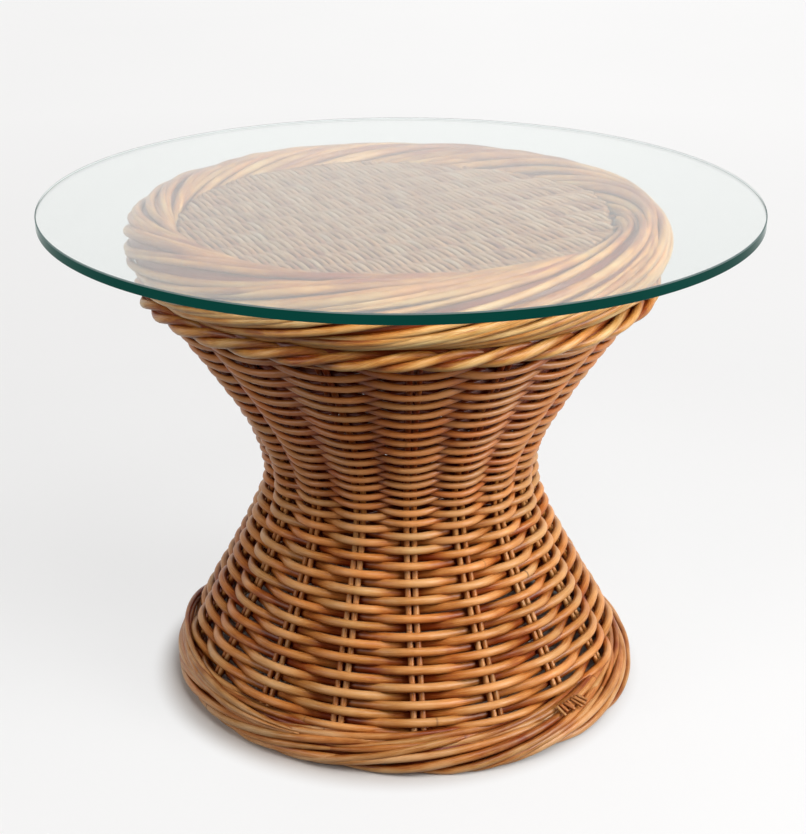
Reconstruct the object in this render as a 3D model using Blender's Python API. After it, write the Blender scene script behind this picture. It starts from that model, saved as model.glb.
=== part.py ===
"""Rattan drum side table: a woven hourglass base with a loose round glass top.

Metres, +Z up. The origin is on the floor, under the middle of the table.
The wall is woven as such a base is by hand: an odd number of stake pairs stands on the foot
roll, and rods climb round them in one spiral, in front of one pair and behind the next, so that
every turn changes sides by itself. Twisted rolls close the weave at the foot and at the rim.
"""

import math

import bmesh
import bpy
from mathutils import Vector

# Driving dimensions, in metres
SEAT_GAP = 0.0003  # clearance between pieces that touch

GLASS_RADIUS = 0.330
GLASS_THICKNESS = 0.0095
GLASS_ARRIS = 0.0010  # the small ground chamfer on both edges

BASE_HEIGHT = 0.4647  # floor to the crest of the rim roll, where the glass rests

FOOT_RADIUS = 0.212  # floor ring, to the middle of the roll
FOOT_WIDTH = 0.026
FOOT_HEIGHT = 0.032
FOOT_FLAT = 0.0010  # worn off the underside, so that the ring stands flat

RIM_RADIUS = 0.2245
RIM_WIDTH = 0.054
RIM_HEIGHT = 0.052

WALE_INSET = 0.0030  # the twisted band under the rim roll, inside the middle of that roll
WALE_WIDTH = 0.034
WALE_HEIGHT = 0.022

WAIST_RADIUS = 0.1234  # to the middle of the stakes
WAIST_HEIGHT = 0.212
STAND_INSET = 0.0055  # where the stakes stand, inside the middle of the foot roll
MEET_INSET = 0.0040  # where they meet the wale, inside its middle
WAIST_BEND_LOWER = 0.0286  # how softly the wall turns below and above the waist
WAIST_BEND_UPPER = 0.0467

STAKE_DIAMETER = 0.0050
STAKE_SPACING = 0.0066  # between the two stakes of a pair, middle to middle
WEAVE_TURN = math.radians(-1.4)  # direction of the first stake pair

ROD_AT_FOOT = 0.0072  # the weavers thin towards the waist
ROD_AT_WAIST = 0.0052
ROD_AT_RIM = 0.0063
ROD_TIP = 0.0020  # where the first and the last weaver taper off
ROW_GAP = 0.0006  # between neighbouring turns
PASS_GAP = 0.0006  # between a weaver and the stakes that it passes
ROD_END_GAP = 0.0010  # between the end of one weaver and the start of the next

MAT_ROD = 0.0057
MAT_RECESS = 0.0135  # top of the woven panel below the crest of the rim
MAT_GROOVE = 0.0014  # depth of the groove between two rods of the panel
MAT_TURN = math.radians(-52)  # direction of the panel's rods
STICK_DIAMETER = 0.0080

# Counts
HALF_PAIRS = 8
STAKE_PAIRS = 2 * HALF_PAIRS + 1  # odd, so that a spiral weaver alternates
WEAVERS = 10
STAKE_KNOTS = 7  # points along a stake
ROD_SIDES = 4
GLASS_SIDES = 48
FOOT_STRANDS, FOOT_TWISTS = 8, 3
RIM_STRANDS, RIM_TWISTS = 9, 3
WALE_STRANDS, WALE_TWISTS = 4, 5
ROLL_SECTIONS = 40
VALLEY = 0.86  # share of a roll's radius left between two strands
MAT_STICKS = 7

# Heights and places that follow from the dimensions above
WALE_RADIUS = RIM_RADIUS - WALE_INSET
WALL_RIM_RADIUS = WALE_RADIUS - MEET_INSET
WALL_FOOT_RADIUS = FOOT_RADIUS - STAND_INSET
RIM_MIDDLE = BASE_HEIGHT - RIM_HEIGHT / 2
WALE_MIDDLE = BASE_HEIGHT - RIM_HEIGHT - SEAT_GAP - WALE_HEIGHT / 2
WALL_TOP = WALE_MIDDLE - WALE_HEIGHT / 2 - SEAT_GAP
FOOT_MIDDLE = FOOT_HEIGHT / 2 - FOOT_FLAT
STAND_SHARE = (STAND_INSET - STAKE_DIAMETER / 2) / (FOOT_WIDTH / 2)
WALL_FOOT = FOOT_MIDDLE + FOOT_HEIGHT / 2 * math.sqrt(1 - STAND_SHARE**2) + SEAT_GAP
GLASS_SEAT = BASE_HEIGHT + SEAT_GAP
MAT_TOP = BASE_HEIGHT - MAT_RECESS
MAT_MIDDLE = MAT_TOP - MAT_ROD / 2
STICK_MIDDLE = MAT_TOP - MAT_ROD - SEAT_GAP - STICK_DIAMETER / 2
PAIR_STEP = 2 * math.pi / STAKE_PAIRS

# Colours as linear red, green and blue
CANE = (0.38, 0.17, 0.055)
CANE_DARK = (0.24, 0.10, 0.035)
GLASS_TINT = (0.75, 0.90, 0.86)


def material(name, colour, roughness, transmission=0.0):
    """A Principled BSDF of one colour."""
    made = bpy.data.materials.new(name)
    made.use_nodes = True
    shader = made.node_tree.nodes["Principled BSDF"]
    shader.inputs["Base Color"].default_value = (*colour, 1.0)
    shader.inputs["Roughness"].default_value = roughness
    shader.inputs["Metallic"].default_value = 0.0
    shader.inputs["Transmission Weight"].default_value = transmission
    return made


def add_object(name, skin, finish, parent, crease=110):
    """Turns a bmesh into a named object under its parent, smooth up to a crease angle in degrees."""
    bmesh.ops.recalc_face_normals(skin, faces=skin.faces)
    mesh = bpy.data.meshes.new(name)
    skin.to_mesh(mesh)
    skin.free()
    mesh.shade_smooth()
    mesh.set_sharp_from_angle(angle=math.radians(crease))
    mesh.materials.append(finish)
    made = bpy.data.objects.new(name, mesh)
    bpy.context.scene.collection.objects.link(made)
    made.parent = parent
    return made


def add_empty(name, place):
    made = bpy.data.objects.new(name, None)
    made.location = place
    bpy.context.scene.collection.objects.link(made)
    return made


def loft(rings, closed):
    """A skin over equal rings of points. A closed loft joins its last ring to its first."""
    skin = bmesh.new()
    loops = [[skin.verts.new(point) for point in ring] for ring in rings]
    following = loops[1:] + loops[:1] if closed else loops[1:]
    for near, far in zip(loops, following):
        for k in range(len(near)):
            skin.faces.new((near[k - 1], near[k], far[k], far[k - 1]))
    if not closed:
        skin.faces.new(loops[0])
        skin.faces.new(loops[-1])
    return skin


def section(centre, across, along, diameter, turn=0.0):
    """Corners of a rod's section about centre, the first one turned away from the across direction."""
    turns = [turn + 2 * math.pi * k / ROD_SIDES for k in range(ROD_SIDES)]
    reach = diameter / 2 / math.cos(turn)
    return [centre + (across * math.cos(a) + along * math.sin(a)) * reach for a in turns]


# The hourglass wall: two hyperbolas that meet at the waist, taken at knots of equal bend
def half_of(z):
    """(bend, slope far from the waist) of the half that holds height z."""
    if z < WAIST_HEIGHT:
        bend, swell, rise = WAIST_BEND_LOWER, WALL_FOOT_RADIUS - WAIST_RADIUS, WAIST_HEIGHT - WALL_FOOT
    else:
        bend, swell, rise = WAIST_BEND_UPPER, WALL_RIM_RADIUS - WAIST_RADIUS, WALL_TOP - WAIST_HEIGHT
    return bend, math.sqrt((swell + bend) ** 2 - bend**2) / rise


def curve_radius(z):
    bend, steepness = half_of(z)
    return WAIST_RADIUS - bend + math.hypot(bend, steepness * (z - WAIST_HEIGHT))


def curve_lean(z):
    """Angle of the wall from the vertical, positive where it flares upwards."""
    bend, steepness = half_of(z)
    rise = z - WAIST_HEIGHT
    return math.atan(steepness**2 * rise / math.hypot(bend, steepness * rise))


def height_at_lean(lean):
    bend, steepness = half_of(WAIST_HEIGHT + math.copysign(SEAT_GAP, lean))
    slope = math.tan(lean)
    return WAIST_HEIGHT + bend * slope / (steepness * math.sqrt(steepness**2 - slope**2))


def knot_heights():
    low, high = curve_lean(WALL_FOOT), curve_lean(WALL_TOP)
    leans = [low + (high - low) * k / (STAKE_KNOTS - 1) for k in range(STAKE_KNOTS)]
    return [WALL_FOOT] + [height_at_lean(lean) for lean in leans[1:-1]] + [WALL_TOP]


KNOTS = [(z, curve_radius(z)) for z in knot_heights()]


def wall_radius(z):
    """Radius of the stakes' middle line, which runs straight between its knots."""
    for (z0, r0), (z1, r1) in zip(KNOTS, KNOTS[1:]):
        if z <= z1:
            break
    return r0 + (r1 - r0) * (z - z0) / (z1 - z0)


def wall_point(angle, z, sideways=0.0, outwards=0.0):
    """A place on the wall: sideways along its turn, and outwards square to its slope."""
    lean = curve_lean(z)
    radial = Vector((math.cos(angle), math.sin(angle), 0))
    turning = Vector((-math.sin(angle), math.cos(angle), 0))
    normal = radial * math.cos(lean) - Vector((0, 0, math.sin(lean)))
    slope = radial * math.sin(lean) + Vector((0, 0, math.cos(lean)))
    place = radial * wall_radius(z) + Vector((0, 0, z)) + turning * sideways + normal * outwards
    return place, turning, normal, slope


def pair_angle(n):
    """Direction of the n-th stake pair that the spiral passes."""
    return WEAVE_TURN + n * PAIR_STEP


def rod_at(z):
    """Diameter of the weaver that lies at height z."""
    if z < WAIST_HEIGHT:
        share = (z - WALL_FOOT) / (WAIST_HEIGHT - WALL_FOOT)
        return ROD_AT_FOOT + (ROD_AT_WAIST - ROD_AT_FOOT) * share
    share = (z - WAIST_HEIGHT) / (WALL_TOP - WAIST_HEIGHT)
    return ROD_AT_WAIST + (ROD_AT_RIM - ROD_AT_WAIST) * share


def pass_offset(z, rod, in_front):
    """How far a weaver's middle line stands off the stakes as it passes a pair."""
    behind = (STAKE_DIAMETER + rod) / 2 + PASS_GAP
    if not in_front:
        return -behind
    outer, inner = wall_radius(z) + behind, wall_radius(z) - behind
    fall = (outer - inner * math.cos(PAIR_STEP)) / (inner * math.sin(PAIR_STEP))
    return behind + STAKE_SPACING / 2 * fall


def weave_stations():
    """(height, rod) of the spiral at each stake pair that it passes, each turn stacked on the last.

    The first turn grows from a tip, and the last one tapers into the room left under the wale.
    """
    behind_stakes = (STAKE_DIAMETER / 2 + PASS_GAP) * math.sin(curve_lean(WALL_TOP))
    top = WALL_TOP - ROW_GAP - behind_stakes
    stations = []
    while True:
        n = len(stations)
        if n < STAKE_PAIRS:
            bottom, share = WALL_FOOT, n / STAKE_PAIRS
        else:
            z, rod = stations[n - STAKE_PAIRS]
            bottom, share = z + (rod / 2 + ROW_GAP) * math.cos(curve_lean(z)), 1.0
        upright = math.cos(curve_lean(bottom))
        rod = min(ROD_TIP + (rod_at(bottom) - ROD_TIP) * share, (top - bottom) / upright)
        if rod < ROD_TIP:
            return stations
        stations.append((bottom + rod / 2 * upright, rod))


def add_stakes(finish, parent):
    for pair in range(STAKE_PAIRS):
        for side, sideways in (("left", STAKE_SPACING / 2), ("right", -STAKE_SPACING / 2)):
            rings = []
            for z, _ in KNOTS:
                place, turning, normal, _ = wall_point(pair_angle(pair), z, sideways)
                rings.append(section(place, normal, turning, STAKE_DIAMETER))
            trim_to_heights(rings)
            add_object(f"stake_{pair + 1:02d}_{side}", loft(rings, False), finish, parent)


def trim_to_heights(rings):
    """Slides the corners of the end rings along the stake, so that it stands flat on its seats."""
    for end, inner, level in ((rings[0], rings[1], WALL_FOOT), (rings[-1], rings[-2], WALL_TOP)):
        for k, corner in enumerate(end):
            run = inner[k] - corner
            end[k] = corner + run * (level - corner.z) / run.z


def add_weavers(finish, parent):
    """The spiral, cut into weavers that end behind a stake pair."""
    spiral = weave_stations()
    ends = [2 * (len(spiral) * k // (2 * WEAVERS)) + 1 for k in range(WEAVERS)]
    ends.append(2 * (len(spiral) // 2) - 1)
    for k, (first, last) in enumerate(zip(ends, ends[1:])):
        passes = []
        for n in range(first, last + 1):
            z, rod = spiral[n]
            stand_off = pass_offset(z, rod, n % 2 == 0)
            place, _, normal, slope = wall_point(pair_angle(n), z, outwards=stand_off)
            passes.append([place, normal, slope, rod])
        for end, inner in ((passes[0], passes[1]), (passes[-1], passes[-2])):
            end[0] = end[0] + (inner[0] - end[0]).normalized() * ROD_END_GAP / 2
        rings = [section(*one_pass, math.pi / ROD_SIDES) for one_pass in passes]
        add_object(f"weaver_{k + 1:02d}", loft(rings, False), finish, parent)


def twisted_roll(radius, middle, width, height, strands, twists):
    """A ring of strands twisted together, as one skin with a groove between each two strands."""
    rings = []
    for section in range(ROLL_SECTIONS):
        angle = 2 * math.pi * section / ROLL_SECTIONS
        radial = Vector((math.cos(angle), math.sin(angle), 0))
        ring = []
        for k in range(2 * strands):
            turn = math.pi * k / strands + twists * angle - math.pi / 2
            reach = 1.0 if k % 2 == 0 else VALLEY
            outwards = radius + reach * width / 2 * math.cos(turn)
            ring.append(radial * outwards + Vector((0, 0, middle + reach * height / 2 * math.sin(turn))))
        rings.append(ring)
    return loft(rings, True)


def add_foot(finish, parent):
    """The floor ring, cut flat where it stands."""
    roll = twisted_roll(FOOT_RADIUS, FOOT_MIDDLE, FOOT_WIDTH, FOOT_HEIGHT, FOOT_STRANDS, FOOT_TWISTS)
    foot = add_object("foot_roll", roll, finish, parent)
    block = bmesh.new()
    bmesh.ops.create_cube(block, size=1.0)
    span = 3 * (FOOT_RADIUS + FOOT_WIDTH)
    bmesh.ops.scale(block, verts=block.verts, vec=(span, span, FOOT_HEIGHT))
    bmesh.ops.translate(block, verts=block.verts, vec=(0, 0, -FOOT_HEIGHT / 2))
    floor = add_object("floor_cutter", block, finish, parent)
    floor.hide_render = True
    floor.display_type = "WIRE"
    cut = foot.modifiers.new("stand_flat", "BOOLEAN")
    cut.operation = "DIFFERENCE"
    cut.object = floor


def rim_bore(low, high):
    """Radius that clears the inside of the rim roll between two heights."""
    nearest = min(max(RIM_MIDDLE, low), high)
    share = (nearest - RIM_MIDDLE) / (RIM_HEIGHT / 2)
    crest = RIM_RADIUS - RIM_WIDTH / 2 * math.sqrt(1 - share**2)
    return crest * math.cos(math.pi / ROLL_SECTIONS) - SEAT_GAP


def chord(radius, off):
    """Half the length of a chord that lies off the middle of a circle."""
    return math.sqrt(max(radius**2 - off**2, 0.0))


def add_mat(finish, parent):
    """The woven panel: rods side by side, each running from rim to rim."""
    radius = rim_bore(MAT_TOP - MAT_ROD, MAT_TOP)
    rods = int(2 * radius / MAT_ROD)
    first = -rods * MAT_ROD / 2
    rings = []
    for k in range(1, 2 * rods):
        off = first + k * MAT_ROD / 2
        half_length = chord(radius, off)
        half_height = MAT_ROD / 2 - (0 if k % 2 else MAT_GROOVE)
        rings.append([Vector((x * half_length, off, z * half_height)) for x, z in
                      ((-1, -1), (1, -1), (1, 1), (-1, 1))])
    mat = add_object("top_mat", loft(rings, False), finish, parent)
    mat.location = (0, 0, MAT_MIDDLE)
    mat.rotation_euler = (0, 0, MAT_TURN)


def add_sticks(finish, parent):
    """The sticks under the panel, square to its rods, from one side of the rim to the other."""
    radius = rim_bore(STICK_MIDDLE - STICK_DIAMETER / 2, STICK_MIDDLE + STICK_DIAMETER / 2)
    for k in range(MAT_STICKS):
        off = radius * (2 * (k + 1) / (MAT_STICKS + 1) - 1)
        half_length = chord(radius, abs(off) + STICK_DIAMETER / 2)
        ends = [Vector((off, y, 0)) for y in (-half_length, half_length)]
        rings = [section(end, Vector((1, 0, 0)), Vector((0, 0, 1)), STICK_DIAMETER) for end in ends]
        stick = add_object(f"mat_stick_{k + 1}", loft(rings, False), finish, parent)
        stick.location = (0, 0, STICK_MIDDLE)
        stick.rotation_euler = (0, 0, MAT_TURN)


def add_glass(finish, parent):
    """The loose top: a disc with both edges ground to an arris."""
    disc = bmesh.new()
    bmesh.ops.create_cone(disc, cap_ends=True, segments=GLASS_SIDES, radius1=GLASS_RADIUS,
                          radius2=GLASS_RADIUS, depth=GLASS_THICKNESS)
    bmesh.ops.translate(disc, verts=disc.verts, vec=(0, 0, GLASS_THICKNESS / 2))
    caps = [face for face in disc.faces if len(face.verts) > 4]
    rims = [edge for face in caps for edge in face.edges]
    bmesh.ops.bevel(disc, geom=rims, offset=GLASS_ARRIS, segments=1, affect="EDGES")
    add_object("glass_top", disc, finish, parent, crease=30)


def main():
    for old in list(bpy.data.objects):
        bpy.data.objects.remove(old)
    base = add_empty("base", (0, 0, 0))
    lift = add_empty("glass_lift", (0, 0, GLASS_SEAT))
    rod_finish = material("cane_rods", CANE, 0.42)
    stake_finish = material("cane_stakes", CANE_DARK, 0.5)
    roll_finish = material("cane_rolls", CANE, 0.4)
    mat_finish = material("cane_mat", CANE, 0.5)
    glass_finish = material("clear_glass", GLASS_TINT, 0.02, 1.0)

    add_foot(roll_finish, base)
    add_stakes(stake_finish, base)
    add_weavers(rod_finish, base)
    wale = twisted_roll(WALE_RADIUS, WALE_MIDDLE, WALE_WIDTH, WALE_HEIGHT, WALE_STRANDS, WALE_TWISTS)
    add_object("rim_wale", wale, roll_finish, base)
    rim = twisted_roll(RIM_RADIUS, RIM_MIDDLE, RIM_WIDTH, RIM_HEIGHT, RIM_STRANDS, RIM_TWISTS)
    add_object("rim_roll", rim, roll_finish, base)
    add_mat(mat_finish, base)
    add_sticks(stake_finish, base)
    add_glass(glass_finish, lift)


main()
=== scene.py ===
"""Looks of the rattan side table: round canes woven over the CAD frame, and clear glass on top.

Metres, +Z up, in the frame's own coordinates. The front of the photo is -Y.
"""

import math

import bmesh
import bpy
import numpy as np
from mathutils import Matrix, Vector


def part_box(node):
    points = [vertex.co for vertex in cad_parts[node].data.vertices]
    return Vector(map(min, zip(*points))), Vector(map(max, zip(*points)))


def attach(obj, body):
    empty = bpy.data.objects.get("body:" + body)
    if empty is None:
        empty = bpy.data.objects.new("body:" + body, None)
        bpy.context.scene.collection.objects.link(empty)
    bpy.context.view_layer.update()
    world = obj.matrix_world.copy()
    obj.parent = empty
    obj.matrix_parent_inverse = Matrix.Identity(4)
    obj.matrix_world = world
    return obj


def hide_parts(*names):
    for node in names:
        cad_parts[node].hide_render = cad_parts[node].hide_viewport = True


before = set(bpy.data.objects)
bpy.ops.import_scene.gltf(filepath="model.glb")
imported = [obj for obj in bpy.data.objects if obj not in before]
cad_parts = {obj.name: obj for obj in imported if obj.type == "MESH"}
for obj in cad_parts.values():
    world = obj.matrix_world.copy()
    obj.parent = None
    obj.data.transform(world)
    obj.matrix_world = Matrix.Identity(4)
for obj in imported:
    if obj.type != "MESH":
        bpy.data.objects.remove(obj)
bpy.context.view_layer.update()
rng = np.random.default_rng(17)
UP = np.array([0.0, 0.0, 1.0])

# Places taken from the frame
GLASS_LOW, GLASS_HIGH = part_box("glass_top")
RIM_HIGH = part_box("rim_roll")[1]
WALE_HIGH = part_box("rim_wale")[1]
FOOT_LOW, FOOT_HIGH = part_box("foot_roll")
STAKE_LOW, STAKE_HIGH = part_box("stake_01_left")
MAT_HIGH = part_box("top_mat")[1]

# The wall: the stakes' middle line, as in the part's source
WAIST_RADIUS = 0.1234
WAIST_HEIGHT = 0.212
WALL_FOOT_RADIUS = 0.2065
WALL_RIM_RADIUS = 0.2175
WAIST_BEND_LOWER = 0.0286
WAIST_BEND_UPPER = 0.0467
WALL_FOOT = STAKE_LOW.z
WALL_TOP = STAKE_HIGH.z
BASE_LEAN = 0.0137  # how much the woven base leans to the left, for each metre of height
LEAN_LEVEL = 0.18  # height at which the lean leaves it where it is

# Every cane. Below, a waver is (strength, rate) and tones are (lowest, highest), from dark 0 to pale 1
MIDDLE_WEAR = 0.45  # wear, painted light included, that leaves the colour of a cane as it is
CREST_FADE = 1.5  # how fast the wear and its painted highlight fade round a cane
GRAIN_LENGTH = 9.0  # of the pattern from which each cane takes a piece of its own
WAVER_TERMS = 4
WAVER_RATES = (0.5, 1.6)  # of the terms, over the rate of the waver
WAVER_SIZES = (0.4, 1.0)

# The weave
STAKE_PAIRS = 17
PAIR_STEP = 2 * math.pi / STAKE_PAIRS
WEAVE_TURN = math.radians(-1.4)  # direction of the first stake pair
WEAVERS = 10
PITCH_TIP = 0.0026  # pitch where the spiral begins and ends
# Height, and pitch from row to row along the wall there
ROW_PITCHES = ((0.035, 0.0078), (0.155, 0.0079), (0.200, 0.0062), (0.235, 0.0051),
               (0.262, 0.0056), (0.290, 0.0067), (0.340, 0.0071), (0.385, 0.0080))
# Height, and diameter of the rods there where they pass in front of a stake pair
ROD_DIAMETERS = ((0.035, 0.0085), (0.150, 0.0083), (0.200, 0.0069), (0.235, 0.0060),
                 (0.262, 0.0056), (0.300, 0.0053), (0.385, 0.0055))
# Height, and a rod's diameter over the pitch there, where it crosses its neighbours
ROD_CROSSINGS = ((0.20, 1.12), (0.28, 1.10), (0.31, 1.00), (0.385, 0.96))
ROD_BEHIND = 1.2  # the same where it passes behind a stake pair
CLOSE_FROM = 0.08  # height above which ROD_BEHIND holds
ROD_CLEARANCE = 0.0006  # between a rod and the stakes
ROD_HALF_LENGTHS = (14, 26)  # half of a rod's length, in stake pairs
ROD_SHORTEST = 12  # a shorter rest, in stake pairs, is left to the rod before it
ROD_THICKNESS_WAVER = (0.025, 0.5)
ROD_DEPTH_WAVER = (0.03, 0.7)
ROD_HEIGHT_WAVER = (0.00035, 0.9)
ROD_TONES = (0.15, 0.85)
ROD_CONTRASTS = ((0.16, 0.85), (0.26, 1.6))  # height, and contrast of the wear of the rods there, its painted highlights and shade included
PAINTED_SHADE_FROM = (0.185, 0.235)  # heights above which the rods are painted darker, as shade under the overhang, and glossier
PAINTED_HIGHLIGHT_TILT = 0.6 * UP  # painted highlight: the rods are palest at the upper side of their crests, where light from above falls
PASS_SAMPLES = 8  # points of a rod from one stake pair to the next
ROD_SIDES = 9

# The stakes
STAKE_DIAMETER = 0.0058
STAKE_SPACING = 0.0071  # of the two in a pair
STAKE_INSET = 0.004  # how far they run into the rolls
STAKE_SIDEWAYS_WAVER = (0.0003, 25)
STAKE_TURN_WAVER = (0.002, 20)
STAKE_DEPTH_WAVER = (0.0002, 30)
STAKE_TONES = (0.2, 0.8)
STAKE_WEAR_AND_SHADE = ((0.20, 0.65), (0.26, 0.0))  # height, and wear of the stakes there; above the waist it drops to 0, painting the stakes dark as shade
STAKE_SAMPLES = 50
STAKE_SIDES = 7

# The rolls
ARC_LAP = 0.03  # half of the lap where one strand of a roll takes over from another, in turns
ARC_TIP = 0.25  # share of a strand's thickness that is left at its end
ARC_SINK = 1.2  # how far the end sinks into the roll, over the thickness taken off
ARC_CUTS = (0.1, 0.9)  # between which the arcs of a strand meet, in turns
STRAND_SIZES = (-0.14, 0.10)  # how much thinner or thicker than usual a strand is
STRAND_THICKNESS_WAVER = (0.05, 5.0)
STRAND_TURN_RATE = 2.5
STRAND_LIFT_RATE = 4.0
STRAND_TONES = (0.32, 0.78)
STRAND_WEAR = 0.74
STRAND_WEAR_WAVER = (0.12, 5.0)
TOP_PAINTED_SHADE = 0.45  # painted shade: how much darker the top of a roll is than its side
ROLL_SAMPLES = 361
CORE_SAMPLES = 200
ROLL_SIDES = 9

# What is uneven at the foot
BULGE = 0.0105  # the foot roll stands out at the right of the front
BULGE_TURN = math.radians(-54)
BULGE_SPREAD = math.radians(42)
TUCKED_ENDS = 7
TUCK_TURN = math.radians(-45)
TUCK_STEP = math.radians(1.25)
TUCK_SLANTS = (0.0, 0.03)
TUCK_OUT = 0.006  # where an end starts, out from the stakes' middle line
TUCK_REACHES = (0.007, 0.012)
TUCK_UP = 0.0048  # and up from the top of the foot roll
TUCK_DROPS = (0.003, 0.006)
TUCK_ROD = 0.0036
TUCK_SIZES = (0.75, 1.15)
TUCK_TONES = (0.3, 0.7)
TUCK_WEAR = 0.5
# painted highlight: the pale crests of the tucked ends are tilted to their upper side
TUCK_HIGHLIGHT_TILT = 0.6
TUCK_SAMPLES = 6
BUNDLE_STRANDS = 6
BUNDLE_START = math.radians(150)
BUNDLE_STAGGER = (-0.12, 0.12)
BUNDLE_SWEEP = math.radians(92)
BUNDLE_LENGTHS = (0.8, 1.1)
BUNDLE_RISE = 0.020
BUNDLE_STEP_DOWN = 0.0042  # from one strand to the next
BUNDLE_STEP_OUT = 0.0012
BUNDLE_INSIDE = 0.0105  # of the first strand, from the outside of the foot roll
BUNDLE_BELOW = 0.005  # of its ends, from the top of the foot roll
BUNDLE_SIDEWAYS_WAVER = (0.0011, 9.0)
BUNDLE_HEIGHT_WAVER = (0.0009, 9.0)
BUNDLE_ROD = 0.0072
BUNDLE_SIZES = (0.7, 1.15)
BUNDLE_TAPER = 0.25  # share of its length over which a strand ends in a tip
BUNDLE_TIP = 0.2
BUNDLE_TONES = (0.35, 0.8)
BUNDLE_WEAR = 0.65
# painted highlight: the pale crests of the bundle strands are tilted to their upper side
BUNDLE_HIGHLIGHT_TILT = 0.5
BUNDLE_SAMPLES = 60

# The panel in the rim
MAT_TURN = math.radians(-60)  # direction of its rods
MAT_FAN = 0.115  # how much the rods spread from one side to the other
MAT_FAN_RIGHT = 0.09  # and how much more they do on the right
MAT_RIGHT = 0.196  # the panel stops short of the rim on the right
MAT_INSET = 0.004  # how far it runs into the rim roll
MAT_ABOVE = 0.0015  # how far the rods stand above the solid
MAT_PITCH = 0.0033
MAT_ROD = 0.0048
MAT_SWING = 0.0019  # how far a rod rises and dips
MAT_HEIGHT_WAVER = (0.0003, 30)
MAT_SIDEWAYS_WAVER = (0.0004, 25)
MAT_WEAR = 0.4
MAT_CREST_WEAR = 0.35
MAT_SAMPLES = 5  # points of a rod from one stick to the next
MAT_FEWEST = 6  # points of a rod that is kept
MAT_SIDES = 6
STICKS = 7
STICK = 0.0040
STICK_SPACING = 0.031
STICK_BELOW = 0.002
STICK_WEAR = 0.2
STICK_SAMPLES = 12

# The glass
GLASS_ARRIS = 0.0010
GLASS_SIDES = 256
ARRIS_POINTS = 4
SLEEVE_SHARE = 0.9994  # radius of the inner side of the edge, over that of the edge
SLEEVE_LINE = 0.35  # share of its height that is grey painted shade, at the top
SHARP_FROM = math.radians(10)

# Colours as linear red, green and blue. A pair is what a faint noise wanders between
CANE_DEEP = (0.165, 0.022, 0.0007)
CANE_BODY = (0.385, 0.141, 0.026)
CANE_PALE = (0.535, 0.282, 0.106)
CANE_MARK = (0.050, 0.015, 0.004)  # the rings at its joints
CANE_TINTS = ((1.08, 0.90, 0.75), (0.95, 1.03, 1.12))
BLACK = (0.0, 0.0, 0.0)
WHITE = (1.0, 1.0, 1.0)
GLASS_CLEAR = ((0.790, 0.836, 0.822), (0.802, 0.846, 0.832))
# painted glow of the ground edge
EDGE_GLOW_GREEN = (0.0008, 0.052, 0.040)
EDGE_DEEPER = 0.7  # share of that green in the edge's darker spots
EDGE_BODY = ((0.0, 0.004, 0.003), (0.0, 0.006, 0.005))
# glows as a painted highlight on the upper arris
ARRIS_HIGHLIGHT_GREY = ((0.13, 0.18, 0.175), (0.18, 0.23, 0.225))
# glows as the painted shade of the edge seen inside the glass
EDGE_SHADE_GREY = ((0.14, 0.16, 0.155), (0.19, 0.21, 0.205))
INSIDE_GLOW = ((0.84, 0.89, 0.88), (0.88, 0.92, 0.91))
INSIDE_BODY = ((0.02, 0.03, 0.03), (0.03, 0.04, 0.04))

# The studio
FLOOR_GREY = ((0.155, 0.155, 0.155), (0.165, 0.165, 0.165))
FLOOR_BOUNCE = (0.05, 0.05, 0.05)  # what light that bounces off the table finds there
# floor colour within the painted shadow round the foot
FLOOR_SHADED = (0.50, 0.48, 0.46)
FLOOR_PAPER = ((0.985, 0.99, 0.99), WHITE)
FLOOR_GLOW = 0.735
FLOOR_GLOW_FAR = 0.84
GLOW_DISTANCES = (0.9, 2.6)  # from the table, between which the floor gets brighter
FLOOR_LEFT_SHADOW = 0.945  # painted shadow: how much dimmer the floor is on the left, where the table's shadow falls
LEFT_TO_MIDDLE = (-1.0, 0.3)
SHADE_PLACE = (-0.005, -0.009, 0.0)  # middle of the painted shadow under the foot
SHADE_WITHIN = 0.012  # how far inside the foot the painted shadow is full
SHADE_BEYOND = 0.022  # how far outside the foot the painted shadow ends
BACKDROP_PAPER = ((0.96, 0.97, 0.98), WHITE)
BACKDROP_HEIGHTS = (0.0, 1.5)
BACKDROP_LOW = 0.78
BACKDROP_HIGH = 0.94
ROOM_WARMTH = (0.090, 0.040, 0.016)  # the dim light that comes from all round
ROOM_SEEN = (0.85, 0.85, 0.85)  # the room as the camera sees it, and the mirror of the glass
STAGE_REACH = 14.0
STAGE_BACK = 5.0
STAGE_TALL = 5.5
# Name, place, size and power
LAMPS = (("key", (2.3, -0.95, 1.22), 1.5, 96), ("top", (0.45, -0.95, 1.65), 0.7, 17),
         ("fill", (-1.95, -1.25, 1.25), 1.4, 26))
LAMP_AIM = Vector((0, 0, 0.25))

# The photo's camera, fitted to the edges of the glass, the foot and the outline
PHOTO_HEIGHT = 834  # pixels, like the next two
FOCAL_LENGTH = 1778.7
MIDDLE_SHIFT = 2.0
SENSOR_WIDTH = 36.0
CAMERA_PLACE = (0.0, -1.5849, 0.9034)
CAMERA_DIP = 22.19  # degrees


def put(name, data):
    """Adds an object to the scene."""
    made = bpy.data.objects.new(name, data)
    bpy.context.scene.collection.objects.link(made)
    return made


def by_height(table, z):
    """Values at heights z, from a table of (height, value)."""
    return np.interp(z, *zip(*table))


def waver(place, strength, rate):
    """A smooth seeded wander of a given strength along place."""
    rates = rate * rng.uniform(*WAVER_RATES, WAVER_TERMS)
    phases = rng.uniform(0, 2 * math.pi, WAVER_TERMS)
    sizes = rng.uniform(*WAVER_SIZES, WAVER_TERMS)
    total = sum(s * np.sin(r * place + p) for s, r, p in zip(sizes, rates, phases))
    return strength * total / np.sqrt((sizes**2).sum() / 2)


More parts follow.
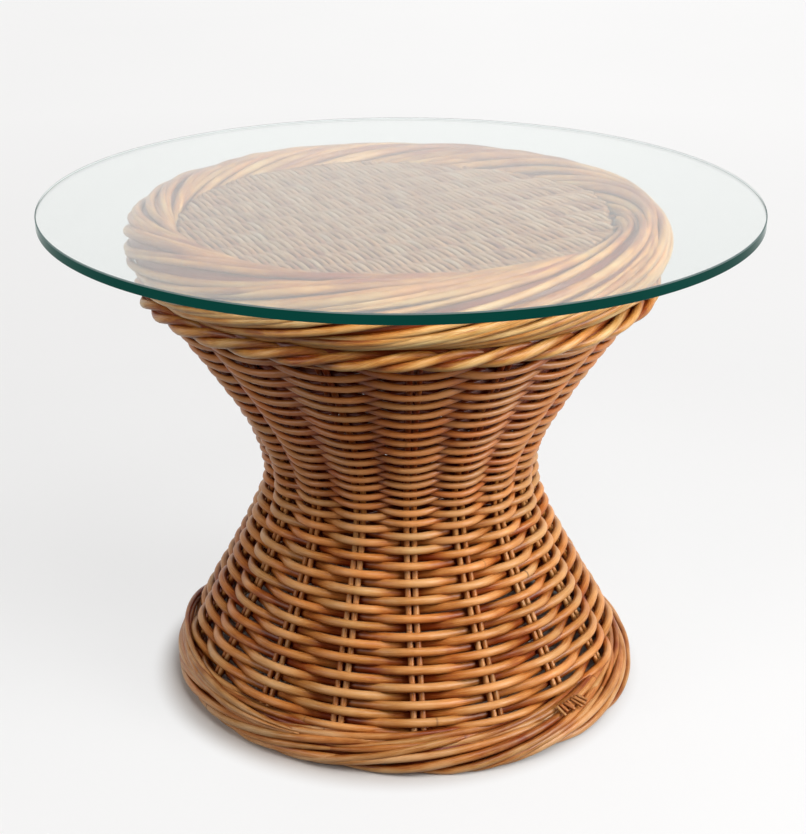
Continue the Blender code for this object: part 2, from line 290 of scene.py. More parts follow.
# Curves swept into round canes
class Canes:
    """Round canes gathered into one mesh, with the attributes that the cane material reads."""

    def __init__(self, sides):
        self.sides = sides
        self.points, self.faces, self.grain, self.tone, self.wear = [], [], [], [], []
        self.count = 0

    def add(self, path, facing, radius, tone, wear, contrast=1.0):
        """Sweeps a cane along path. facing points out of the weave, and wear is 1 on its worn crests.
        The wear is partly real wear and partly painted light: pale crests are also painted highlights,
        and a low wear is painted shade where a cane lies behind or under others.
        """
        path = np.asarray(path, float)
        steps = np.linalg.norm(np.diff(path, axis=0), axis=1)
        along = np.concatenate([[0.0], np.cumsum(steps)]) + rng.uniform(0, GRAIN_LENGTH)
        tangent = np.gradient(path, axis=0)
        tangent /= np.linalg.norm(tangent, axis=1)[:, None]
        outward = facing - (facing * tangent).sum(1)[:, None] * tangent
        outward /= np.linalg.norm(outward, axis=1)[:, None]
        sideways = np.cross(tangent, outward)
        turn = 2 * math.pi * np.arange(self.sides) / self.sides
        radius = np.broadcast_to(np.asarray(radius, float), len(path))
        ring = (outward[:, None, :] * np.cos(turn)[None, :, None]
                + sideways[:, None, :] * np.sin(turn)[None, :, None])
        rings = path[:, None, :] + ring * radius[:, None, None]
        rows, sides, start = len(path), self.sides, self.count
        index = start + np.arange(rows * sides).reshape(rows, sides)
        after = np.roll(index, -1, axis=1)
        quads = np.stack([index[:-1], after[:-1], after[1:], index[1:]], axis=-1).reshape(-1, 4)
        self.faces += quads.tolist()
        self.faces += [index[0][::-1].tolist(), index[-1].tolist()]
        self.points.append(rings.reshape(-1, 3))
        self.grain.append(np.stack([np.tile(np.cos(turn), rows), np.tile(np.sin(turn), rows),
                                    np.repeat(along, sides)], axis=-1))
        self.tone.append(np.full(rows * sides, tone))
        # The crest is pale as real wear and as a painted highlight; the side facing in is painted darker as
        # shade
        crest = (0.5 + 0.5 * np.cos(turn)[None, :]) ** CREST_FADE
        worn_and_shaded = np.broadcast_to(np.asarray(wear, float), rows)[:, None] * crest
        worn_and_shaded = MIDDLE_WEAR + (worn_and_shaded - MIDDLE_WEAR) * np.broadcast_to(contrast, rows)[:, None]
        self.wear.append(worn_and_shaded.reshape(-1))
        self.count += rows * sides

    def build(self, name, material, nodes):
        """Makes the mesh, with the lean of the base, and hangs it on the frame."""
        mesh = bpy.data.meshes.new(name)
        points = np.concatenate(self.points)
        points[:, 0] += BASE_LEAN * (LEAN_LEVEL - points[:, 2])
        mesh.from_pydata(points.tolist(), [], self.faces)
        for label, kind, part in (("grain", "FLOAT_VECTOR", "vector"), ("tone", "FLOAT", "value"),
                                  ("wear", "FLOAT", "value")):
            values = np.concatenate(getattr(self, label)).astype(np.float32).ravel()
            mesh.attributes.new(label, kind, "POINT").data.foreach_set(part, values)
        mesh.shade_smooth()
        mesh.materials.append(material)
        made = put(name, mesh)
        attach(made, "base")
        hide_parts(*nodes)


# Materials
class Nodes:
    """Short hand for the node tree of a material or of the world."""

    def __init__(self, name, owner=None):
        self.owner = owner or bpy.data.materials.new(name)
        self.owner.use_nodes = True
        self.tree = self.owner.node_tree
        self.shader = self.tree.nodes.get("Principled BSDF") or self.tree.nodes["Background"]

    def node(self, kind, **settings):
        made = self.tree.nodes.new(kind)
        for key, value in settings.items():
            setattr(made, key, value)
        return made

    def plug(self, source, target):
        """Puts a socket or a plain value into an input socket."""
        if isinstance(source, bpy.types.NodeSocket):
            self.tree.links.new(source, target)
        elif hasattr(target.default_value, "__len__") and len(source) == 3 and len(target.default_value) == 4:
            target.default_value = (*source, 1.0)
        else:
            target.default_value = source

    def plug_named(self, made, inputs):
        for label, source in inputs.items():
            self.plug(source, made.inputs[label])

    def plug_row(self, made, *sources):
        for target, source in zip(made.inputs, sources):
            self.plug(source, target)

    def surface(self, inputs):
        """Sets inputs of the shader, and returns what it belongs to."""
        self.plug_named(self.shader, inputs)
        return self.owner

    def place(self):
        return self.node("ShaderNodeTexCoord").outputs["Object"]

    def attribute(self, name, output="Fac"):
        return self.node("ShaderNodeAttribute", attribute_name=name).outputs[output]

    def math(self, operation, first, second=0.0, third=0.0):
        made = self.node("ShaderNodeMath", operation=operation)
        self.plug_row(made, first, second, third)
        return made.outputs[0]

    def times(self, first, second):
        return self.math("MULTIPLY", first, second)

    def vector_math(self, operation, *sources, output="Vector"):
        made = self.node("ShaderNodeVectorMath", operation=operation)
        self.plug_row(made, *sources)
        return made.outputs[output]

    def vector(self, x, y, z):
        made = self.node("ShaderNodeCombineXYZ")
        self.plug_row(made, x, y, z)
        return made.outputs[0]

    def axis(self, vector, label):
        made = self.node("ShaderNodeSeparateXYZ")
        self.plug_row(made, vector)
        return made.outputs[label]

    def noise(self, vector, scale, detail=3.0, roughness=0.55):
        made = self.node("ShaderNodeTexNoise")
        self.plug_named(made, {"Vector": vector, "Scale": scale, "Detail": detail, "Roughness": roughness})
        return made.outputs["Fac"]

    def mix(self, share, first, second, blend="MIX"):
        made = self.node("ShaderNodeMix", data_type="RGBA", blend_type=blend)
        self.plug_named(made, {"Factor": share, "A": first, "B": second})
        return made.outputs["Result"]

    def ramp(self, value, low, high, bottom=0.0, top=1.0, ease="LINEAR"):
        """Value between low and high stretched to bottom and top."""
        made = self.node("ShaderNodeMapRange", clamp=True, interpolation_type=ease)
        self.plug_named(made, {"Value": value, "From Min": low, "From Max": high,
                               "To Min": bottom, "To Max": top})
        return made.outputs["Result"]

    def bump(self, height, strength, distance):
        made = self.node("ShaderNodeBump")
        self.plug_named(made, {"Height": height, "Strength": strength, "Distance": distance})
        return made.outputs["Normal"]


def cane_material(name, tint=WHITE, coat=0.10):
    """Peeled and lacquered cane: streaks along it, blotches of stain, rings at its joints, worn crests.
    The wear attribute that lightens and darkens it carries painted highlights and painted shade as well.
    """
    # A rate is along the cane, and a shift sets canes of different tones apart
    streak_stretch, streak_shift = (7.5, 7.5, 48.0), 50.0
    blotch_rate, blotch_shift = 24.0, 37.0
    warmth_rate, warmth_shift, warmth_level, warmth_span = 13.0, 91.0, 4.0, (0.33, 0.67)
    ring_rate, ring_shift, ring_edge, ring_blotches = 1.4, 7.0, (0.0004, 0.0020), (0.42, 0.6)
    ring_share, ring_depth = 0.75, 0.8
    deep_to_body, body_to_pale = (0.0, 0.5), (0.45, 1.0)
    streak_span, dull, glossy = (0.3, 0.7), 0.46, 0.32

    n = Nodes(name)
    # wear: real wear with painted highlights and painted shade in it
    tone, wear, grain = n.attribute("tone"), n.attribute("wear"), n.attribute("grain", "Vector")
    own_part = n.vector(n.times(tone, streak_shift), 0.0, 0.0)
    streak_place = n.vector_math("MULTIPLY_ADD", grain, streak_stretch, own_part)
    streaks = n.noise(streak_place, 1.0, detail=4.0, roughness=0.65)
    fine = n.noise(streak_place, 2.6, detail=3.0, roughness=0.7)
    along = n.axis(grain, "Z")
    blotch_place = n.vector(n.times(along, blotch_rate), n.times(tone, blotch_shift), 0.0)
    blotches = n.noise(blotch_place, 1.0, detail=2.0)

    lightness = 0.45
    for look, middle, weight in ((streaks, 0.5, 1.25), (fine, 0.5, 0.75), (blotches, 0.5, 1.25),
                                 (tone, 0.5, 0.50), (wear, MIDDLE_WEAR, 0.95)):
        lightness = n.math("MULTIPLY_ADD", n.math("SUBTRACT", look, middle), weight, lightness)
    dark_half = n.mix(n.ramp(lightness, *deep_to_body), CANE_DEEP, CANE_BODY)
    colour = n.mix(n.ramp(lightness, *body_to_pale), dark_half, CANE_PALE)
    warmth_place = n.vector(n.times(along, warmth_rate), n.times(tone, warmth_shift), warmth_level)
    warmth = n.ramp(n.noise(warmth_place, 1.0, detail=1.0), *warmth_span)
    colour = n.mix(1.0, colour, n.mix(warmth, *CANE_TINTS), "MULTIPLY")

    ring_place = n.math("FRACT", n.math("MULTIPLY_ADD", along, ring_rate, n.times(tone, ring_shift)))
    ring = n.ramp(n.math("ABSOLUTE", n.math("SUBTRACT", ring_place, 0.5)), *ring_edge, 1.0, 0.0)
    ring = n.times(ring, n.ramp(blotches, *ring_blotches))
    colour = n.mix(n.times(ring, ring_share), colour, CANE_MARK)
    height = n.math("MULTIPLY_ADD", ring, ring_depth, streaks)
    return n.surface({
        "Base Color": n.mix(1.0, colour, tint, "MULTIPLY"),
        "Roughness": n.ramp(streaks, *streak_span, dull, glossy),
        "Normal": n.bump(height, strength=0.25, distance=0.0004),
        "Specular IOR Level": 0.25,
        "Coat Weight": coat,
        "Coat Roughness": 0.22,
    })


def glass_material():
    """Clear float glass with faint smears in its tint."""
    n = Nodes("float_glass")
    return n.surface({
        "Base Color": n.mix(n.noise(n.place(), 9.0), *GLASS_CLEAR),
        "Roughness": 0.0,
        "Transmission Weight": 1.0,
        "IOR": 1.52,
    })


def edge_material():
    """The ground edge, painted with its own glow: deep green, standing in for the light that runs a long way
    through the glass; the grey of the slanted arris is a material of its own.
    """
    n = Nodes("glass_edge")
    shimmer = n.noise(n.place(), 9.0, detail=2.0)
    deep = tuple(EDGE_DEEPER * part for part in EDGE_GLOW_GREEN)
    return n.surface({
        "Base Color": n.mix(shimmer, *EDGE_BODY),
        "Emission Color": n.mix(shimmer, deep, EDGE_GLOW_GREEN),
        "Emission Strength": 1.0,
        "Roughness": 0.06,
        "Specular IOR Level": 0.03,
    })


def line_material(name, greys):
    """A thin grey line along the edge that glows, used twice: a painted highlight on the upper arris,
    and the painted shade of the edge inside the glass.
    """
    body_share = 0.1
    n = Nodes(name)
    grey = n.mix(n.noise(n.place(), 30.0), *greys)
    return n.surface({
        "Base Color": n.mix(1 - body_share, grey, BLACK),
        "Emission Color": grey,
        "Emission Strength": 1.0,
        "Roughness": 0.6,
        "Specular IOR Level": 0.0,
    })


def glow_material():
    """The edge as it shows from inside the glass, painted with its own glow as bright as the paper behind it.
    """
    n = Nodes("glass_edge_inside_painted_glow")
    shimmer = n.noise(n.place(), 14.0)
    return n.surface({
        "Base Color": n.mix(shimmer, *INSIDE_BODY),
        "Emission Color": n.mix(shimmer, *INSIDE_GLOW),
        "Emission Strength": 1.0,
        "Roughness": 0.5,
    })


def floor_material():
    """A white floor that glows so that it stays pale behind the table, with a painted shadow round the foot
    and a painted shadow on the left.
    """
    n = Nodes("studio_floor")
    place = n.place()
    paper = n.noise(place, 2.0)
    bounced = n.node("ShaderNodeLightPath").outputs["Is Diffuse Ray"]
    distance = n.vector_math("LENGTH", n.vector_math("SUBTRACT", place, SHADE_PLACE), output="Value")
    # clear: 0 in the painted shadow round the foot, 1 outside it
    clear = n.ramp(distance, FOOT_HIGH.x - SHADE_WITHIN, FOOT_HIGH.x + SHADE_BEYOND, ease="SMOOTHSTEP")
    outside = n.mix(bounced, n.mix(paper, *FLOOR_GREY), FLOOR_BOUNCE)
    glow = n.ramp(distance, *GLOW_DISTANCES, FLOOR_GLOW, FLOOR_GLOW_FAR)
    # painted shadow: the floor glows less on the left
    glow = n.times(glow, n.ramp(n.axis(place, "X"), *LEFT_TO_MIDDLE, FLOOR_LEFT_SHADOW, 1.0))
    seen = n.math("SUBTRACT", 1.0, bounced)
    return n.surface({
        "Base Color": n.mix(clear, FLOOR_SHADED, outside),
        "Emission Color": n.mix(paper, *FLOOR_PAPER),
        "Emission Strength": n.times(seen, n.times(clear, glow)),
        "Roughness": 0.8,
        "Specular IOR Level": 0.1,
    })


def backdrop_material():
    """White paper behind the table, bright enough to show in the glass."""
    n = Nodes("studio_backdrop")
    place = n.place()
    return n.surface({
        "Emission Color": n.mix(n.noise(place, 0.5), *BACKDROP_PAPER),
        "Emission Strength": n.ramp(n.axis(place, "Z"), *BACKDROP_HEIGHTS, BACKDROP_LOW, BACKDROP_HIGH),
        "Roughness": 0.9,
    })


# The hourglass wall
def half_of(z):
    """(bend, slope far from the waist) of the wall at each height."""
    lower = z < WAIST_HEIGHT
    bend = np.where(lower, WAIST_BEND_LOWER, WAIST_BEND_UPPER)
    swell = np.where(lower, WALL_FOOT_RADIUS, WALL_RIM_RADIUS) - WAIST_RADIUS
    rise = np.where(lower, WAIST_HEIGHT - WALL_FOOT, WALL_TOP - WAIST_HEIGHT)
    return bend, np.sqrt((swell + bend) ** 2 - bend**2) / rise


def wall_radius(z):
    bend, steepness = half_of(z)
    return WAIST_RADIUS - bend + np.hypot(bend, steepness * (z - WAIST_HEIGHT))


def wall_lean(z):
    """Angle of the wall from the vertical, positive where it flares upwards."""
    bend, steepness = half_of(z)
    rise = z - WAIST_HEIGHT
    return np.arctan(steepness**2 * rise / np.hypot(bend, steepness * rise))


def wall_points(angle, z, outwards, sideways=0.0):
    """(points, outward normals) on the wall at angles and heights."""
    lean = wall_lean(z)
    radial = np.stack([np.cos(angle), np.sin(angle), np.zeros_like(angle)], axis=-1)
    turning = np.stack([-np.sin(angle), np.cos(angle), np.zeros_like(angle)], axis=-1)
    normal = radial * np.cos(lean)[:, None] - UP * np.sin(lean)[:, None]
    outwards = np.broadcast_to(outwards, angle.shape)[:, None]
    sideways = np.broadcast_to(sideways, angle.shape)[:, None]
    points = radial * wall_radius(z)[:, None] + UP * z[:, None]
    return points + normal * outwards + turning * sideways, normal


def pitch_at(z):
    return float(by_height(ROW_PITCHES, z))


def spiral_stations():
    """(heights, pitches) of the spiral at each stake pair that it passes, each turn stacked on the last."""
    heights, pitches = [], []
    while True:
        n = len(heights)
        if n < STAKE_PAIRS:
            bottom, share = WALL_FOOT, n / STAKE_PAIRS
        else:
            z, pitch = heights[n - STAKE_PAIRS], pitches[n - STAKE_PAIRS]
            bottom, share = z + pitch / 2 * math.cos(wall_lean(np.float64(z))), 1.0
        upright = math.cos(wall_lean(np.float64(bottom)))
        pitch = min(PITCH_TIP + (pitch_at(bottom) - PITCH_TIP) * share, (WALL_TOP - bottom) / upright)
        if pitch < PITCH_TIP:
            return np.array(heights), np.array(pitches)
        heights.append(bottom + pitch / 2 * upright)
        pitches.append(pitch)


def lay_rod(canes, place, heights, pitches):
    """A rod of the wall, in front of the stake pairs at even places on the spiral, behind the others."""
    stations = np.arange(len(heights))
    pitch = np.interp(place, stations, pitches)
    z = np.interp(place, stations, heights)
    swing = np.cos(math.pi * place)
    passing = by_height(ROD_DIAMETERS, z) * pitch / by_height(ROW_PITCHES, z)
    behind = np.where(z > CLOSE_FROM, pitch * ROD_BEHIND, passing)
    crossing = pitch * by_height(ROD_CROSSINGS, z)
    rod = np.where(swing < 0, behind, passing) * swing**2 + crossing * (1 - swing**2)
    rod *= 1 + waver(place, *ROD_THICKNESS_WAVER)
    stand_off = (STAKE_DIAMETER + rod) / 2 + ROD_CLEARANCE
    stand_off *= 1 + waver(place, *ROD_DEPTH_WAVER)
    z = z + waver(place, *ROD_HEIGHT_WAVER)
    points, normal = wall_points(WEAVE_TURN + place * PAIR_STEP, z, stand_off * swing)
    # wear: worn crest and painted highlight where the rod passes in front, painted shade where it passes
    # behind
    canes.add(points, normal + PAINTED_HIGHLIGHT_TILT, rod / 2, rng.uniform(*ROD_TONES), 0.5 + 0.5 * swing,
              by_height(ROD_CONTRASTS, z))


def weave_wall(materials):
    """The rods of the wall, a mesh for each weaver. materials: the lower wall, the waist, the top;
    the waist and top ones are tinted darker as painted shade.
    """
    heights, pitches = spiral_stations()
    ends = [1]
    for k in range(1, WEAVERS):
        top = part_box(f"weaver_{k:02d}")[1].z
        ends.append(2 * int(np.searchsorted(heights, top - pitch_at(top)) // 2) + 1)
    ends.append(2 * (len(heights) // 2) - 1)
    for k, (first, last) in enumerate(zip(ends, ends[1:])):
        canes = Canes(ROD_SIDES)
        start = first
        while start < last:
            stop = start + 2 * int(rng.integers(*ROD_HALF_LENGTHS))
            stop = last if last - stop < ROD_SHORTEST else stop
            lay_rod(canes, np.linspace(start, stop, (stop - start) * PASS_SAMPLES + 1), heights, pitches)
            start = stop
        # higher rods get the darker materials: painted shade
        level = int(np.searchsorted(PAINTED_SHADE_FROM, (heights[first] + heights[last]) / 2))
        canes.build(f"wall_rods_{k + 1:02d}", materials[level], [f"weaver_{k + 1:02d}"])


def stand_stakes(material):
    """The upright rods, in pairs."""
    canes = Canes(STAKE_SIDES)
    z = np.linspace(WALL_FOOT - STAKE_INSET, WALL_TOP + STAKE_INSET, STAKE_SAMPLES)
    # painted shade: the stakes go dark above the waist
    worn_and_shaded = by_height(STAKE_WEAR_AND_SHADE, z)
    nodes = []
    for pair in range(STAKE_PAIRS):
        for side, way in (("left", 1), ("right", -1)):
            sideways = way * STAKE_SPACING / 2 + waver(z, *STAKE_SIDEWAYS_WAVER)
            angle = WEAVE_TURN + pair * PAIR_STEP + waver(z, *STAKE_TURN_WAVER)
            points, normal = wall_points(angle, z, waver(z, *STAKE_DEPTH_WAVER), sideways)
            canes.add(points, normal, STAKE_DIAMETER / 2, rng.uniform(*STAKE_TONES), worn_and_shaded)
            nodes.append(f"stake_{pair + 1:02d}_{side}")
    canes.build("stake_canes", material, nodes)


# The twisted rolls
def ring_points(angle, radius, z):
    height = np.broadcast_to(z, angle.shape)
    return np.stack([radius * np.cos(angle), radius * np.sin(angle), height], axis=-1)


def ring_facing(angle, tilt):
    """Directions away from the middle, tilted upwards."""
    return ring_points(angle, np.ones_like(angle), tilt)


def foot_bulge(angle):
    """How far the foot roll stands out at each angle: it isn't quite round."""
    away = (angle - BULGE_TURN + math.pi) % (2 * math.pi) - math.pi
    return BULGE * np.exp(-((away / BULGE_SPREAD) ** 2))


def twist_roll(canes, outer, low, high, width, strands, twists, strand, turn_wander, lift_wander, arcs,
               fullness, bulge=None, corner=0.0):
    """Strands wound round a ring whose section is an oval, each pieced from arcs, over a core that fills it.

    corner pushes the lower outer side of the oval towards a square, where the roll stands on the floor.
    """
    middle, half_height, half_width = (low + high) / 2, (high - low) / 2, width / 2
    radius = outer - half_width
    share = np.linspace(-ARC_LAP, 1 + ARC_LAP, ROLL_SAMPLES)
    shift = round(twists * strands) % strands  # the place that a strand comes to after a turn of the ring
    seams = rng.uniform(0, 2 * math.pi, shift)
    for k in range(strands):
        angle = seams[k % shift] + 2 * math.pi * share
        thick = strand / 2 * (1 + rng.uniform(*STRAND_SIZES) + waver(angle, *STRAND_THICKNESS_WAVER))
        turn = 2 * math.pi * k / strands + twists * angle + waver(angle, turn_wander, STRAND_TURN_RATE)
        lift = 1 - lift_wander + waver(angle, lift_wander, STRAND_LIFT_RATE).clip(-lift_wander, lift_wander)
        out = np.stack([np.cos(turn) * np.cos(angle), np.cos(turn) * np.sin(angle), np.sin(turn)], axis=-1)
        more = bulge(angle) * (0.5 + 0.5 * np.cos(turn)) if bulge else 0.0
        square = lift * (1 + corner * np.clip(-np.sin(2 * turn), 0, 1) * (np.cos(turn) > 0))
        cuts = np.sort(rng.uniform(*ARC_CUTS, arcs - 1))
        for start, stop in zip([0.0, *cuts], [*cuts, 1.0]):
            here = (share >= start - ARC_LAP) & (share <= stop + ARC_LAP)
            from_end = np.minimum(share - start, stop - share) + ARC_LAP
            half = thick * np.clip(from_end / (2 * ARC_LAP), ARC_TIP, 1)
            sunk = thick + ARC_SINK * (thick - half)
            r = radius + (half_width - sunk) * square * np.cos(turn) + more
            z = np.maximum(middle + (half_height - sunk) * square * np.sin(turn), low + half)
            # the upper side of each strand is painted darker: painted shade
            worn_and_shaded = STRAND_WEAR + waver(angle, *STRAND_WEAR_WAVER) - TOP_PAINTED_SHADE * np.clip(np.sin(turn), 0, 1)
            canes.add(ring_points(angle, r, z)[here], out[here], half[here], rng.uniform(*STRAND_TONES),
                      worn_and_shaded[here])
    core = min(half_width, half_height) - strand * fullness
    spread = half_height - core - strand * fullness
    for z in sorted({middle - spread, middle + spread}):
        pack_ring(canes, radius, z, core, bulge)


def pack_ring(canes, radius, z, half, bulge=None):
    """A plain ring that fills the inside of a roll, painted dark so the gaps between strands show as shade.
    """
    turn = np.linspace(0, 2 * math.pi, CORE_SAMPLES)
    r = radius + (bulge(turn) / 2 if bulge else np.zeros_like(turn))
    canes.add(ring_points(turn, r, z), ring_facing(turn, 0.0), half, tone=0.0, wear=0.0)


def tuck_ends(canes):
    """Cut ends of rods, tucked side by side into the foot roll at the right of the front."""
    share = np.linspace(0, 1, TUCK_SAMPLES)
    for k in range(TUCKED_ENDS):
        angle = TUCK_TURN + (k - TUCKED_ENDS / 2) * TUCK_STEP
        turn = angle + share * rng.uniform(*TUCK_SLANTS)
        r = WALL_FOOT_RADIUS + TUCK_OUT + rng.uniform(*TUCK_REACHES) * share
        z = FOOT_HIGH.z + TUCK_UP - share * rng.uniform(*TUCK_DROPS)
        canes.add(ring_points(turn, r + foot_bulge(turn) / 2, z), ring_facing(turn, TUCK_HIGHLIGHT_TILT),
                  TUCK_ROD / 2 * rng.uniform(*TUCK_SIZES), rng.uniform(*TUCK_TONES), TUCK_WEAR)


def bind_bundle(canes):
    """Thin strands piled on the foot roll at the left, each ending in a tip."""
    share = np.linspace(0, 1, BUNDLE_SAMPLES)
    hump = np.sin(math.pi * share**0.8) ** 1.5
    taper = np.clip(np.minimum(share, 1 - share) / BUNDLE_TAPER, BUNDLE_TIP, 1)
    for k in range(BUNDLE_STRANDS):
        start = BUNDLE_START + rng.uniform(*BUNDLE_STAGGER)
        angle = start + share * BUNDLE_SWEEP * rng.uniform(*BUNDLE_LENGTHS)
        rise = hump * (BUNDLE_RISE - BUNDLE_STEP_DOWN * k)
        r = FOOT_HIGH.x - BUNDLE_INSIDE + BUNDLE_STEP_OUT * k + waver(share, *BUNDLE_SIDEWAYS_WAVER)
        z = FOOT_HIGH.z - BUNDLE_BELOW + rise + waver(share, *BUNDLE_HEIGHT_WAVER)
        half = BUNDLE_ROD / 2 * taper * rng.uniform(*BUNDLE_SIZES)
        canes.add(ring_points(angle, r, z), ring_facing(angle, BUNDLE_HIGHLIGHT_TILT), half,
                  rng.uniform(*BUNDLE_TONES), BUNDLE_WEAR)


def wind_foot(material):
    """The roll that the table stands on: an outer ring, a thinner inner one, and what is uneven there."""
    canes = Canes(ROLL_SIDES)
    twist_roll(canes, outer=FOOT_HIGH.x, low=FOOT_LOW.z, high=FOOT_HIGH.z + 0.001, width=0.027, strands=10,
               twists=2.8, strand=0.0076, turn_wander=0.24, lift_wander=0.08, arcs=3, fullness=0.9,
               bulge=foot_bulge, corner=0.30)
    twist_roll(canes, outer=WALL_FOOT_RADIUS + 0.0125, low=0.012, high=0.0375, width=0.021, strands=8,
               twists=21 / 8, strand=0.0071, turn_wander=0.20, lift_wander=0.07, arcs=3, fullness=0.9)
    tuck_ends(canes)
    bind_bundle(canes)
    canes.build("foot_strands", material, ["foot_roll"])


def wind_wale(material):
    """The thin twisted band under the rim, and a ring that closes the gap behind it."""
    canes = Canes(ROLL_SIDES)
    twist_roll(canes, outer=WALE_HIGH.x + 0.005, low=WALL_TOP + 0.001, high=WALL_TOP + 0.0195, width=0.0195,
               strands=3, twists=34 / 3, strand=0.0086, turn_wander=0.08, lift_wander=0.03, arcs=1,
               fullness=0.7)
    pack_ring(canes, radius=WALE_HIGH.x - 0.0145, z=WALL_TOP + 0.014, half=0.009)
    canes.build("wale_strands", material, ["rim_wale"])


def wind_rim(material):
    """The thick roll that carries the glass."""
    canes = Canes(ROLL_SIDES)
    twist_roll(canes, outer=RIM_HIGH.x + 0.0015, low=WALL_TOP + 0.0165, high=RIM_HIGH.z, width=0.055,
               strands=28, twists=1.75, strand=0.0076, turn_wander=0.065, lift_wander=0.05, arcs=2,
               fullness=1.0)
    canes.build("rim_strands", material, ["rim_roll"])


def weave_mat(material):
    """The panel in the rim: rods over and under sticks, from rim to rim, a little fanned."""
    radius = MAT_HIGH.x + MAT_INSET
    middle = MAT_HIGH.z + MAT_ABOVE - MAT_ROD / 2 - MAT_SWING
    forward = np.array([math.cos(MAT_TURN), math.sin(MAT_TURN), 0.0])
    across = np.array([-math.sin(MAT_TURN), math.cos(MAT_TURN), 0.0])
    canes = Canes(MAT_SIDES)
    count = int(2 * radius / MAT_PITCH)
    for k in range(count):
        off = (k + 0.5 - count / 2) * MAT_PITCH
        half = math.sqrt(radius**2 - off**2)
        u = np.linspace(-half, half, max(int(half * 2 / STICK_SPACING * MAT_SAMPLES), MAT_FEWEST))
        swing = np.cos(math.pi * (u / STICK_SPACING + k))
        lift = MAT_SWING * swing + waver(u, *MAT_HEIGHT_WAVER)
        side = off / radius
        drift = off + (MAT_FAN * side + MAT_FAN_RIGHT * side**2) * u + waver(u, *MAT_SIDEWAYS_WAVER)
        points = forward * u[:, None] + across * drift[:, None] + UP * (middle + lift)[:, None]
        inside = (np.hypot(u, drift) < radius) & (points[:, 0] < MAT_RIGHT)
        if inside.sum() >= MAT_FEWEST:
            canes.add(points[inside], np.broadcast_to(UP, points.shape)[inside], MAT_ROD / 2, rng.uniform(),
                      MAT_WEAR + MAT_CREST_WEAR * swing[inside])
    reach = int(radius / STICK_SPACING)
    for k in range(-reach, reach + 1):
        u = k * STICK_SPACING
        v = np.linspace(-1, 1, STICK_SAMPLES) * math.sqrt(radius**2 - u**2)
        points = forward * u + across * v[:, None] + UP * (middle - STICK_BELOW)
        canes.add(points, np.broadcast_to(UP, points.shape), STICK / 2, rng.uniform(), STICK_WEAR)
    nodes = ["top_mat"] + [f"mat_stick_{k}" for k in range(1, STICKS + 1)]
    canes.build("woven_panel", material, nodes)


def lay_glass():
    """The glass disc: clear faces, the ground edge with its upper arris, and the inner side of the edge.
    The edge, the arris and the inner side glow with painted light.
    """
    edge, arris, inside, line = 1, 2, 3, 4  # places in materials, and 0 for the faces
    materials = (glass_material(), edge_material(), line_material("glass_arris_painted_highlight", ARRIS_HIGHLIGHT_GREY), glow_material(),
                 line_material("glass_edge_painted_shade_line", EDGE_SHADE_GREY))
    radius, low, high = GLASS_HIGH.x, GLASS_LOW.z, GLASS_HIGH.z
    rounding = [(GLASS_ARRIS * (1 - math.sin(a)), GLASS_ARRIS * (1 - math.cos(a)))
                for a in np.linspace(math.pi / 2, 0, ARRIS_POINTS)]
    profile = [(radius - drop, low + rise) for rise, drop in rounding]
    profile += [(radius - drop, high - rise) for rise, drop in reversed(rounding)]
    bottom, top = low + GLASS_ARRIS, high - GLASS_ARRIS
    levels = (bottom, top - SLEEVE_LINE * (top - bottom), top)

    skin = bmesh.new()
    turns = [2 * math.pi * k / GLASS_SIDES for k in range(GLASS_SIDES)]

    def ring_of(r, z):
        return [skin.verts.new((r * math.cos(a), r * math.sin(a), z)) for a in turns]

    rings = [ring_of(r, z) for r, z in profile]
    for row, (below, above) in enumerate(zip(rings, rings[1:])):
        for k in range(GLASS_SIDES):
            face = skin.faces.new((below[k - 1], below[k], above[k], above[k - 1]))
            face.material_index = edge if row < ARRIS_POINTS else arris
    for ring, z, order in ((rings[0], low, -1), (rings[-1], high, 1)):
        middle = skin.verts.new((0, 0, z))
        for k in range(GLASS_SIDES):
            skin.faces.new((ring[k - 1], ring[k], middle)[::order])
    sleeve = [ring_of(SLEEVE_SHARE * radius, z) for z in levels]
    for below, above, look in zip(sleeve, sleeve[1:], (inside, line)):
        for k in range(GLASS_SIDES):
            face = skin.faces.new((below[k - 1], above[k - 1], above[k], below[k]))
            face.material_index = look
    mesh = bpy.data.meshes.new("glass_disc")
    skin.to_mesh(mesh)
    skin.free()
    mesh.shade_smooth()
    mesh.set_sharp_from_angle(angle=SHARP_FROM)
    for material in materials:
        mesh.materials.append(material)
    disc = put("glass_disc", mesh)
    disc.visible_shadow = False
    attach(disc, "glass")
    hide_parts("glass_top")


# The studio
def stage_sheet(name, corners, material):
    mesh = bpy.data.meshes.new(name)
    mesh.from_pydata(corners, [], [list(range(len(corners)))])
    mesh.materials.append(material)
    sheet = put(name, mesh)


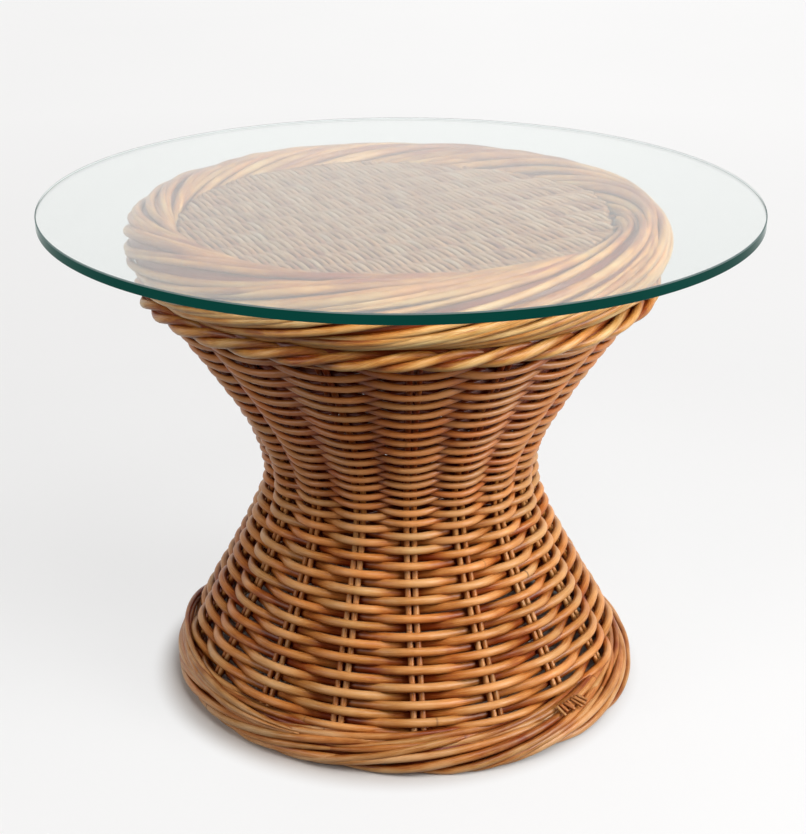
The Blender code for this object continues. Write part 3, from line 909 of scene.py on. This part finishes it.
def set_stage():
    """Floor, backdrop, the light of the room and the lamps."""
    reach, back, tall = STAGE_REACH, STAGE_BACK, STAGE_TALL
    floor = [(-reach, -reach, 0), (reach, -reach, 0), (reach, reach, 0), (-reach, reach, 0)]
    backdrop = [(-reach, back, 0), (reach, back, 0), (reach, back, tall), (-reach, back, tall)]
    stage_sheet("studio_floor", floor, floor_material())
    stage_sheet("studio_backdrop", backdrop, backdrop_material())
    n = Nodes("studio", bpy.data.worlds.new("studio"))
    path = n.node("ShaderNodeLightPath").outputs
    direct = n.math("LESS_THAN", n.math("ADD", path["Diffuse Depth"], path["Transmission Depth"]), 0.5)
    mirrored = n.times(path["Is Singular Ray"], direct)
    seen = n.math("MAXIMUM", path["Is Camera Ray"], mirrored)
    bpy.context.scene.world = n.surface({"Color": n.mix(seen, ROOM_WARMTH, ROOM_SEEN)})
    for name, place, size, power in LAMPS:
        lamp = bpy.data.lights.new(name, "AREA")
        lamp.size, lamp.energy = size, power
        light = put(name, lamp)
        light.location = place
        light.rotation_euler = (LAMP_AIM - Vector(place)).to_track_quat("-Z", "Y").to_euler()
    bpy.context.scene.view_settings.view_transform = "Standard"


def set_camera():
    data = bpy.data.cameras.new("photo_camera")
    data.sensor_width = SENSOR_WIDTH
    data.lens = data.sensor_width * FOCAL_LENGTH / PHOTO_HEIGHT
    data.shift_x = MIDDLE_SHIFT / PHOTO_HEIGHT
    camera = put("photo_camera", data)
    camera.location = CAMERA_PLACE
    camera.rotation_euler = (math.radians(90 - CAMERA_DIP), 0.0, 0.0)
    bpy.context.scene.camera = camera


set_stage()
set_camera()
weave_wall((cane_material("lacquered_cane"),
            # the waist and top rods are tinted darker and redder: painted shade under the overhang
            cane_material("waist_cane_painted_shade", tint=(0.89, 0.82, 0.76), coat=0.12),
            cane_material("upper_cane_painted_shade", tint=(0.76, 0.61, 0.50), coat=0.18)))
stand_stakes(cane_material("stake_cane", tint=(0.95, 0.95, 0.95)))
wind_foot(cane_material("foot_cane", tint=(0.97, 1.11, 1.42)))
wind_wale(cane_material("wale_cane", tint=(0.94, 1.15, 1.27)))
wind_rim(cane_material("rim_cane", tint=(0.95, 1.22, 1.42)))
weave_mat(cane_material("panel_cane", tint=(0.78, 1.10, 2.00)))
lay_glass()
